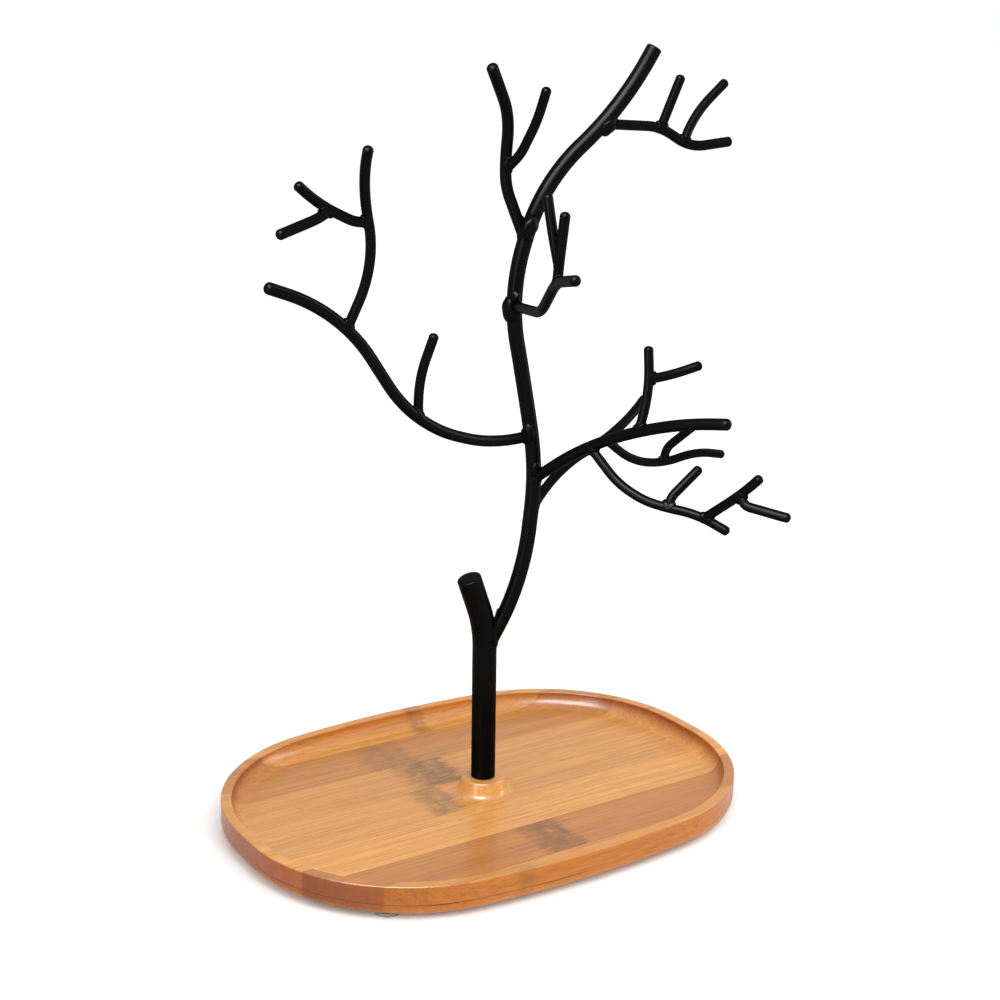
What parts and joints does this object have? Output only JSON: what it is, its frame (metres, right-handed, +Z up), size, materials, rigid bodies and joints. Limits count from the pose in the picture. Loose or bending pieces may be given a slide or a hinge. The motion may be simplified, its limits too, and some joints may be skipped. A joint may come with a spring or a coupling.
{
  "type": "jewellery tree stand with tray",
  "caption": "Free-standing jewellery tree of welded black steel rods on a routed oval bamboo tray, for hanging necklaces, bracelets and rings above loose pieces.",
  "frame": {"origin": "middle of the stand's whole footprint, on the surface that the pads stand on", "axes": "+Z up, +X along the tray's long side towards the side the stem leans to, -Y towards the tray's front long side, where the low branches reach"},
  "size_m": [0.3016, 0.2516, 0.4136],
  "materials": {
    "black_coat": "semi-gloss black powder coat",
    "bamboo": "clear gloss lacquer on laminated bamboo",
    "screw_steel": "zinc plated",
    "pad_rubber": "matt"
  },
  "bodies": {
    "root": {"tray": "bamboo", "pads": "pad_rubber", "base_screw": "screw_steel", "washer": "screw_steel", "crown_left": "black_coat", "crown_left_twig": "black_coat", "crown_right": "black_coat", "crown_right_inner": "black_coat", "crown_right_outer": "black_coat", "front_branch": "black_coat", "front_spur": "black_coat", "front_twig": "black_coat", "left_bough": "black_coat", "left_bough_twig": "black_coat", "left_fork": "black_coat", "left_spur": "black_coat", "left_upright": "black_coat", "low_arm": "black_coat", "low_spur": "black_coat", "low_twig_inner": "black_coat", "low_twig_outer": "black_coat", "main_stem": "black_coat", "post": "black_coat", "rear_arm": "black_coat", "rear_arm_twig": "black_coat", "rear_bough": "black_coat", "right_bough": "black_coat", "right_spur": "black_coat", "right_twig": "black_coat"}
  },
  "joints": []
}
